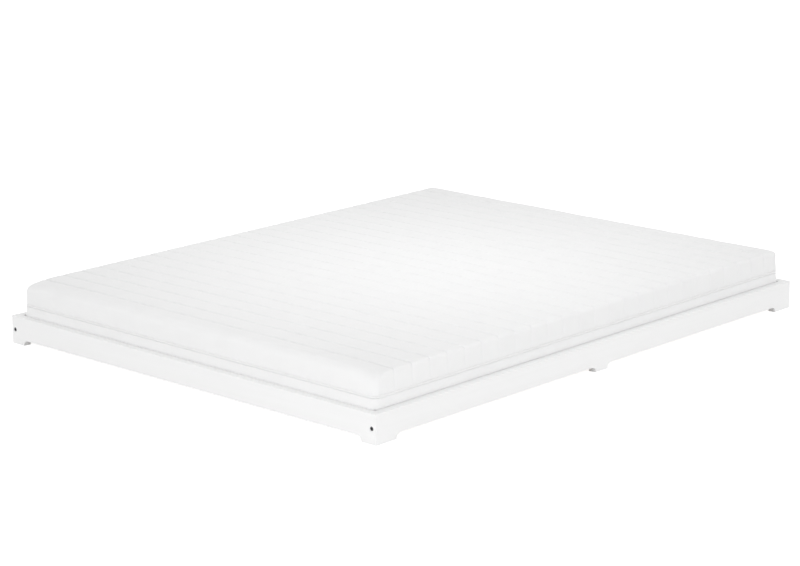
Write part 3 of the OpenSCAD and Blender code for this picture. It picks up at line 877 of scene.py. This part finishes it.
def makeCoverBase():
    b, m = base, mattress
    columns = stationRow(m["straightWide"], evenPlaces(m["straightWide"], b["columns"]), b["cornerSteps"])
    rows = stationRow(m["straightLong"], evenPlaces(m["straightLong"], b["rows"]), b["cornerSteps"])
    levels = len(b["swell"])
    columnCount, rowCount = len(columns) - 1, len(rows) - 1
    bm, layers = latticeBox(columnCount, rowCount, levels, 1)
    high = m["zipLow"] - m["underside"]
    sections = [(m["underside"], b["tuck"], b["tuck"])]
    sections += [(m["zipLow"] - high * share, inX * mm, inY * mm) for share, inX, inY in reversed(b["swell"])]
    for v in bm.verts:
        i, j, k = (v[layer] for layer in layers)
        z, inX, inY = sections[k]
        x, y = planPlace(columns[i], rows[j], inX, inY)
        v.co = (x, y, z)
        if 0 < k < levels:
            dent = noise.noise(Vector([c * often for c, often in zip((x, y, z), b["wavesPerMetre"])]))
            v.co = drawnIn(v.co, max(0.0, b["wave"] * dent))
    bmesh.ops.recalc_face_normals(bm, faces=bm.faces)
    heights, sideInsets, endInsets = zip(*sections)
    endRun = clothRun(endInsets, heights, 0)
    mapCloth(bm, columnCount, rowCount, clothRun(sideInsets, heights, 0), endRun, endRun)
    mesh = meshFrom(bm, "coverBase")
    bm = bmesh.new()
    bm.from_mesh(subdivided(mesh))
    lineCover(bm, (0.0, m["underside"] + m["coverThick"]))
    mesh = meshFrom(bm, "coverBase")
    cloth = makeCoverCloth("plainCloth")
    piece = finishPiece("coverBase", mesh, cloth, "mattress", "cover", "mattress_cover_bottom")
    print("cover base made with", len(mesh.polygons), "faces")


# The foam block inside the cover, slanted off round its top
foamBlock = {
    "uprightSegments": 10,
    "edge": 6 * mm,
    "edgeSegments": 4,
    "slantHigh": 28 * mm,
    "slantIn": 32 * mm,
    "fill": 1.0,
}


def bevelEdges(bm, edges, offset, segments):
    bmesh.ops.bevel(bm, geom=edges, offset=offset, segments=segments, profile=0.5, affect="EDGES",
                    material=-1)


def rise(edge):
    return abs(edge.verts[0].co.z - edge.verts[1].co.z)


def makeFoamCore():
    f, m = foamBlock, mattress
    low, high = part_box("mattress_core")
    size = high - low
    bm = bmesh.new()
    bmesh.ops.create_cube(bm, size=1)
    bmesh.ops.scale(bm, verts=bm.verts, vec=size)
    bmesh.ops.translate(bm, verts=bm.verts, vec=(low + high) / 2)
    upright = [e for e in bm.edges if rise(e) > size.z / 2]
    bevelEdges(bm, upright, m["cornerRadius"] - (m["halfWide"] - high.x), f["uprightSegments"])
    bmesh.ops.bisect_plane(bm, geom=list(bm.verts) + list(bm.edges) + list(bm.faces),
                           plane_co=(0, 0, high.z - f["slantHigh"]), plane_no=(0, 0, 1))
    for v in bm.verts:
        if v.co.z > high.z - 1e-6:
            v.co.x *= 1 - f["slantIn"] / high.x
            v.co.y *= 1 - f["slantIn"] / high.y
    bevelEdges(bm, [e for e in bm.edges if rise(e) < 1e-6], f["edge"], f["edgeSegments"])
    mesh = meshFrom(bm, "foamCore")
    piece = finishPiece("foamCore", mesh, makeFoam(), "mattress", "foam", "mattress_core")
    print("foam core made")


# The zip lies in the recess between the two halves of the cover
zipper = {
    "setBack": 0.62 * mm,
    "tapeThick": 1.0 * mm,
    "tapeSteps": 1200,
    "tapeFlatness": (3, 1.6),
    "toothPitch": 2.5 * mm,
    "coilHigh": 4.6 * mm,
    "coilProud": 0.16 * mm,
    "toothDepth": 0.08 * mm,
    "toothSway": 0.1,
    "around": 8,
}


# Place and outward direction at a distance along an outline that lies inset from the side
def outlinePlace(distance, inset):
    m = mattress
    radius = m["cornerRadius"] - inset
    arc = math.pi / 2 * radius
    lengths = (2 * m["straightWide"], 2 * m["straightLong"]) * 2
    corners = ((1, -1), (1, 1), (-1, 1), (-1, -1))
    for quarter, (length, (cx, cy)) in enumerate(zip(lengths, corners)):
        turn = quarter * math.pi / 2
        ahead = Vector((math.cos(turn), math.sin(turn), 0))
        outward = Vector((math.sin(turn), -math.cos(turn), 0))
        centre = Vector((cx * m["straightWide"], cy * m["straightLong"], 0))
        if distance <= length:
            return centre - ahead * (length - distance) + outward * radius, outward
        distance -= length
        if distance <= arc:
            angle = distance / radius
            outward = outward * math.cos(angle) + ahead * math.sin(angle)
            return centre + outward * radius, outward
        distance -= arc
    return outlinePlace(0.0, inset)


def outlineLength(inset):
    m = mattress
    return 4 * (m["straightWide"] + m["straightLong"]) + 2 * math.pi * (m["cornerRadius"] - inset)


# A closed tube round the mattress: profile gives how far out and up its skin lies
def ringTube(steps, around, inset, profile, layerName):
    bm = bmesh.new()
    bmesh.ops.create_grid(bm, x_segments=steps, y_segments=around, size=0.5)
    total = outlineLength(inset)
    layer = bm.loops.layers.uv.new(layerName)
    for face in bm.faces:
        for loop in face.loops:
            loop[layer].uv = ((loop.vert.co.x + 0.5) * total, loop.vert.co.y + 0.5)
    for v in bm.verts:
        along = round((v.co.x + 0.5) * steps)
        turn = (v.co.y + 0.5) * 2 * math.pi
        place, outward = outlinePlace(total * along / steps if along < steps else 0.0, inset)
        out, up = profile(along, turn)
        v.co = place + outward * out + Vector((0, 0, up))
    bmesh.ops.remove_doubles(bm, verts=bm.verts, dist=1e-5)
    bmesh.ops.recalc_face_normals(bm, faces=bm.faces)
    return meshFrom(bm, "ring")


def makeZip():
    z, m = zipper, mattress
    middle = (m["zipLow"] + m["zipHigh"]) / 2
    half = (m["zipHigh"] - m["zipLow"]) / 2

    # A circle's wave, swollen and cut off so that its sides are flat
    def flattened(wave, flatness):
        return math.copysign(min(1.0, abs(wave) * flatness), wave)

    def tapeProfile(along, turn):
        outFlat, upFlat = z["tapeFlatness"]
        out = flattened(math.cos(turn), outFlat) * z["tapeThick"] / 2
        return out - z["tapeThick"] / 2, middle + flattened(math.sin(turn), upFlat) * half

    tape = ringTube(z["tapeSteps"], z["around"], z["setBack"], tapeProfile, "tape")
    finishPiece("zipTape", tape, makeZipTape(), "mattress", "zip_tape", "cover_zip")

    def coilProfile(along, turn):
        upper = math.sin(turn) > 0
        tooth = math.cos(math.pi * along + (math.pi if upper else 0))
        swell = 1 - z["toothDepth"] / z["coilProud"] * (0.5 - 0.5 * tooth)
        sway = 1 - z["toothSway"] + z["toothSway"] * tooth
        return math.cos(turn) * z["coilProud"] * swell, middle + math.sin(turn) * z["coilHigh"] / 2 * sway

    steps = 2 * round(outlineLength(z["setBack"]) / z["toothPitch"])
    coil = ringTube(steps, z["around"], z["setBack"], coilProfile, "coil")
    finishPiece("zipCoil", coil, makeNylon(z["toothPitch"]), "mattress", "zip_tape")
    print("zip made with", steps // 2, "teeth")


# The zip's slider, a die-cast shoe with two shoulders and a tail
slider = {
    "cuts": 5,
    "tail": 0.72,
    "taper": 1.25,
    "endRound": 1.2 * mm,
    "endSegments": 3,
    "flankInset": 0.99 * mm,
    "flankDepth": 0.5 * mm,
    "edge": 0.15 * mm,
    "edgeSegments": 2,
}


def makeSlider():
    s = slider
    low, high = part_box("zip_slider")
    middle, size = (low + high) / 2, high - low
    bm = bmesh.new()
    bmesh.ops.create_cube(bm, size=1)
    along = [e for e in bm.edges if abs(e.verts[0].co.x - e.verts[1].co.x) > 0.5]
    bmesh.ops.subdivide_edges(bm, edges=along, cuts=s["cuts"], use_grid_fill=True)
    for v in bm.verts:
        share = min(1.0, s["taper"] * (0.5 - v.co.x))
        v.co.z *= s["tail"] + (1 - s["tail"]) * math.sin(math.pi / 2 * share) ** 2
        v.co = Vector((v.co.x * size.x, v.co.y * size.y, v.co.z * size.z))
    ends = [e for e in bm.edges if rise(e) > 1e-5 and abs(e.verts[0].co.x) > 0.49 * size.x]
    bevelEdges(bm, ends, s["endRound"], s["endSegments"])
    # The hollows over and under the channel that the teeth run through
    flanks = [f for f in bm.faces if abs(f.normal.z) > 0.7]
    bmesh.ops.inset_region(bm, faces=flanks, thickness=s["flankInset"], depth=-s["flankDepth"])
    bevelEdges(bm, list(bm.edges), s["edge"], s["edgeSegments"])
    bmesh.ops.translate(bm, verts=bm.verts, vec=middle)
    bmesh.ops.recalc_face_normals(bm, faces=bm.faces)
    mesh = meshFrom(bm, "sliderShoe")
    finishPiece("sliderShoe", mesh, makeSteel("sliderSteel", sliderSteel), "slider", "slider", "zip_slider")
    print("zip slider made")


makeQuiltedTop()
makeCoverBase()
makeFoamCore()
makeZip()
makeSlider()


# Camera, at the photograph's own viewing angle
cameraSetting = {
    "place": (5.6225, -6.0071, 2.2492),
    "yaw": 43.312,
    "pitch": 14.341,
    "roll": -0.532,
    "focalPixels": 2529.0,
    "imageWide": 800,
    "sensor": 36.0,
    "clip": (0.1, 200),
}


def makeCamera():
    c = cameraSetting
    data = bpy.data.cameras.new("camera")
    data.sensor_width = c["sensor"]
    data.lens = c["focalPixels"] * c["sensor"] / c["imageWide"]
    data.clip_start, data.clip_end = c["clip"]
    camera = bpy.data.objects.new("camera", data)
    scene.collection.objects.link(camera)
    turn = (Matrix.Rotation(math.radians(c["yaw"]), 4, "Z")
            @ Matrix.Rotation(math.radians(90 - c["pitch"]), 4, "X")
            @ Matrix.Rotation(math.radians(c["roll"]), 4, "Z"))
    camera.matrix_world = Matrix.Translation(c["place"]) @ turn
    scene.camera = camera


# Light: a pale room that is brighter towards the horizon, a soft lamp overhead with a grid that
# keeps its light on the mattress, and a weak fill that looks at the near corner
studio = {
    "room": 0.72,
    "horizon": 1.23,
    "horizonFall": 4.0,
    "floorColor": 0.90,
    "floorRough": 0.9,
    "floorGlow": 0.86,
    "floorHalf": 60.0,
}
lamps = {
    "overhead": {"place": (0.13, 0.03, 4.4), "target": (0.13, 0.03, 0.0), "size": (0.9, 0.9), "watts": 2.4,
                 "spread": 44},
    "fill": {"place": (1.7, -2.5, 0.6), "target": (0.75, -1.0, 0.1), "size": (1.0, 0.7), "watts": 3.9,
             "spread": 180},
}


def makeLamps():
    for name, lamp in lamps.items():
        data = bpy.data.lights.new(name, "AREA")
        data.shape = "RECTANGLE"
        data.size, data.size_y = lamp["size"]
        data.energy = lamp["watts"]
        data.spread = math.radians(lamp["spread"])
        light = bpy.data.objects.new(name, data)
        scene.collection.objects.link(light)
        light.location = lamp["place"]
        aim = Vector(lamp["target"]) - light.location
        light.rotation_euler = aim.to_track_quat("-Z", "Y").to_euler()
        light.visible_camera = False


# The camera and mirror rays see plain white; everything else gets the room's light
def seenDirectly(tree):
    path = addNode(tree, "LightPath")
    seen = calc(tree, "MAXIMUM", path.outputs["Is Camera Ray"], path.outputs["Is Glossy Ray"])
    return calc(tree, "MAXIMUM", seen, path.outputs["Is Transmission Ray"])


def makeRoom():
    world = bpy.data.worlds.new("room")
    scene.world = world
    world.use_nodes = True
    tree = world.node_tree
    tree.nodes.clear()
    up = addNode(tree, "SeparateXYZ", {0: addNode(tree, "TexCoord").outputs["Generated"]}).outputs[2]
    low = minus(tree, 1.0, calc(tree, "MAXIMUM", up, 0.0))
    low = calc(tree, "POWER", low, studio["horizonFall"])
    strength = plus(tree, times(tree, low, studio["horizon"]), studio["room"])
    light = addNode(tree, "Background", {"Color": (1, 1, 1, 1), "Strength": strength})
    white = addNode(tree, "Background", {"Color": (1, 1, 1, 1), "Strength": 1.0})
    mixed = addNode(tree, "MixShader", {0: seenDirectly(tree), 1: light.outputs[0], 2: white.outputs[0]})
    addNode(tree, "OutputWorld", {0: mixed.outputs[0]})


def makeFloor():
    bm = bmesh.new()
    bmesh.ops.create_grid(bm, x_segments=1, y_segments=1, size=studio["floorHalf"])
    mesh = meshFrom(bm, "floor")
    floor = bpy.data.objects.new("floor", mesh)
    scene.collection.objects.link(floor)
    material, tree, shader = startMaterial("paleFloor", Roughness=studio["floorRough"],
                                           Base_Color=(studio["floorColor"],) * 3 + (1,),
                                           Specular_IOR_Level=0.0)
    strength = times(tree, seenDirectly(tree), studio["floorGlow"])
    glow = addNode(tree, "Emission", {"Color": (1, 1, 1, 1), "Strength": strength})
    both = addNode(tree, "AddShader", {0: shader.outputs[0], 1: glow.outputs[0]})
    tree.links.new(both.outputs[0], tree.nodes["Material Output"].inputs["Surface"])
    mesh.materials.append(material)


makeCamera()
makeLamps()
makeRoom()
makeFloor()
scene.view_settings.view_transform = "Standard"
print("camera, lamps and floor placed")
